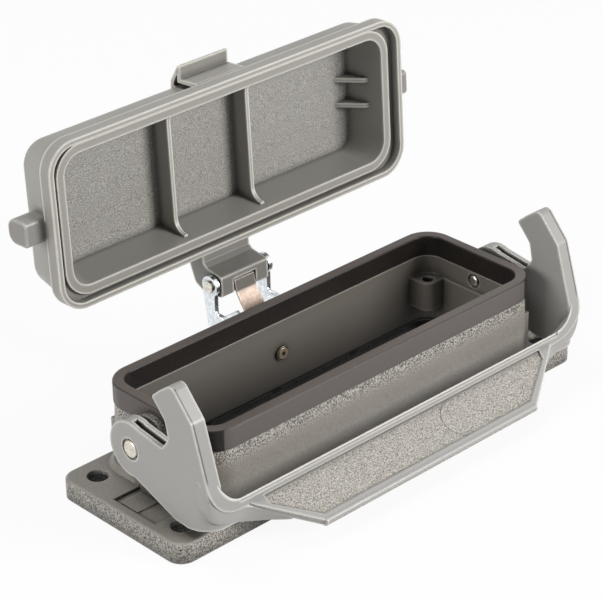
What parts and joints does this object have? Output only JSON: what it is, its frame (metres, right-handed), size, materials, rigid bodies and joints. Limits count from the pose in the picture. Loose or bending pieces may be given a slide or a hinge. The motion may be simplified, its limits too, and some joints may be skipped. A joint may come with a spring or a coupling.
{
  "type": "bulkhead connector housing",
  "caption": "Rectangular flanged housing for a power connector, with a U-shaped locking lever and a sprung hinged cover, shown open.",
  "frame": {"origin": "centre of the four mounting holes on the flange's underside", "axes": "+X along the housing, -Y towards the lever's grip, +Z out of the panel towards the plug"},
  "size_m": [0.144, 0.0881, 0.0912],
  "materials": {
    "cast_body": "textured powder coat, warm grey",
    "black_seal": "satin",
    "pin_steel": "satin",
    "bracket_zinc": "bright zinc plate",
    "spring_bronze": "bronze strip, dull",
    "lever_plastic": "satin, fine texture in the panel",
    "cover_plastic": "satin, fine texture inside"
  },
  "bodies": {
    "housing": {"housing_body": "cast_body", "rim_seal": "black_seal", "panel_seal": "black_seal", "pivot_pin_left": "pin_steel", "pivot_pin_right": "pin_steel", "hinge_bracket": "bracket_zinc", "bracket_rivet": "pin_steel", "hinge_pin": "pin_steel", "cover_spring": "spring_bronze"},
    "lever": {"locking_lever": "lever_plastic"},
    "cover": {"cover_shell": "cover_plastic"}
  },
  "joints": [
    {"name": "lever_pivot", "type": "hinge", "parent": "housing", "child": "lever", "pos_m": [0, 0, 0.0213], "axis": [-1, 0, 0], "range_deg": [0, 38]},
    {"name": "cover_hinge", "type": "hinge", "parent": "housing", "child": "cover", "pos_m": [0, 0.0341, 0.0319], "axis": [1, 0, 0], "range_deg": [0, 92.7], "deforming": ["cover_spring"]}
  ]
}
